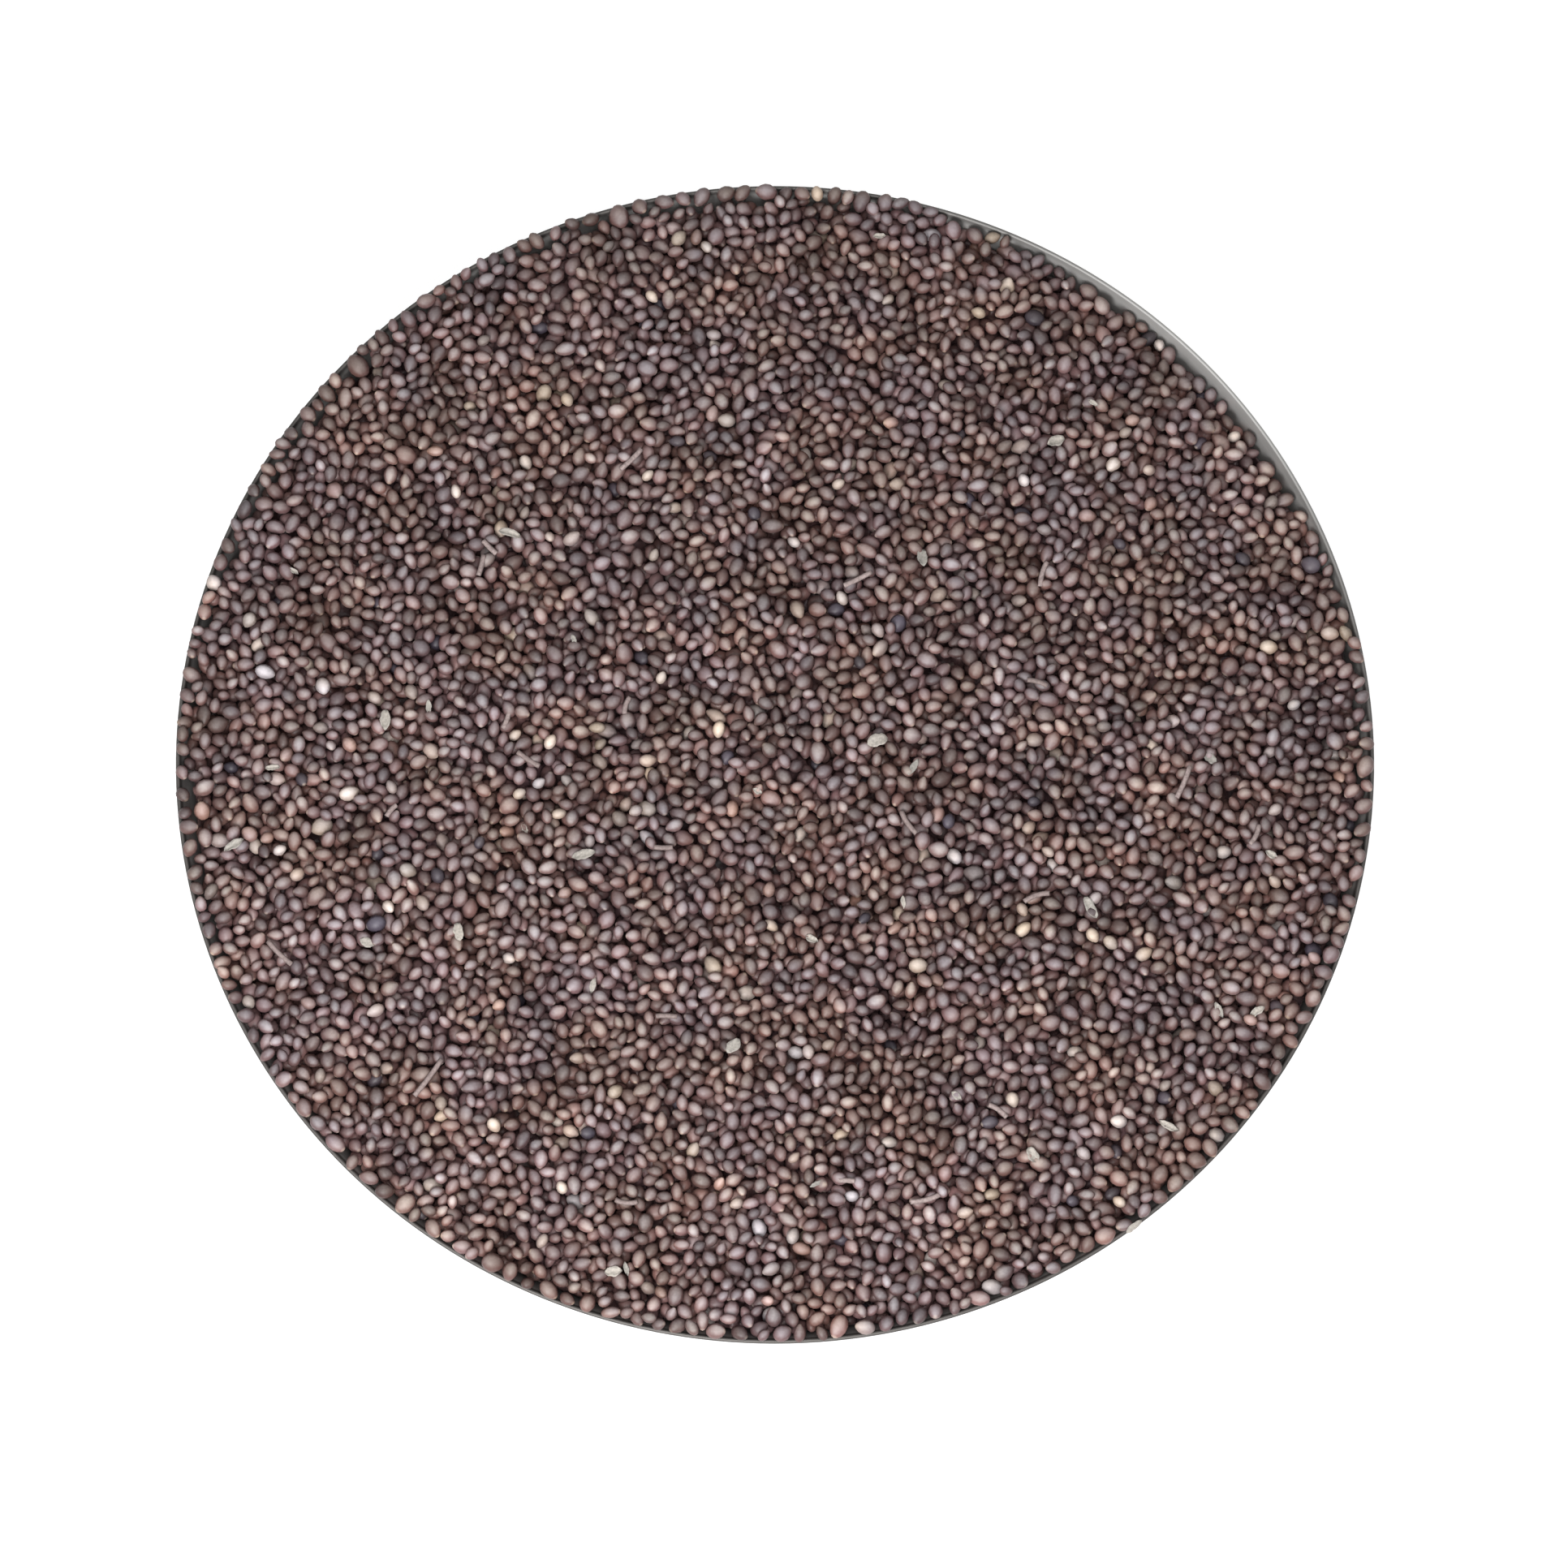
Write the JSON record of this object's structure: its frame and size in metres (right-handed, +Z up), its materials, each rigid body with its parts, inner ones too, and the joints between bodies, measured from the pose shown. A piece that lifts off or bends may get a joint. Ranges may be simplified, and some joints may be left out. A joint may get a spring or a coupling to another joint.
{
  "type": "dish of holy basil seeds",
  "caption": "Small round steel dish with a flared wall and plain rim, brimful of tiny dark holy basil seeds.",
  "frame": {"origin": "centre of the underside of the dish's flat base", "axes": "+Z up out of the dish, -Y towards the picture's camera, +X to the picture's right"},
  "size_m": [0.082, 0.082, 0.0244],
  "materials": {
    "dish_steel": "satin stainless steel, faint turned lines, brighter along the rim",
    "seed_coats": "dry seed coats, plum-brown with a dull grey bloom, a few tan, rust and grey seeds and pale chaff"
  },
  "bodies": {
    "root": {"dish": "dish_steel", "seed_heap": "seed_coats"}
  },
  "joints": []
}
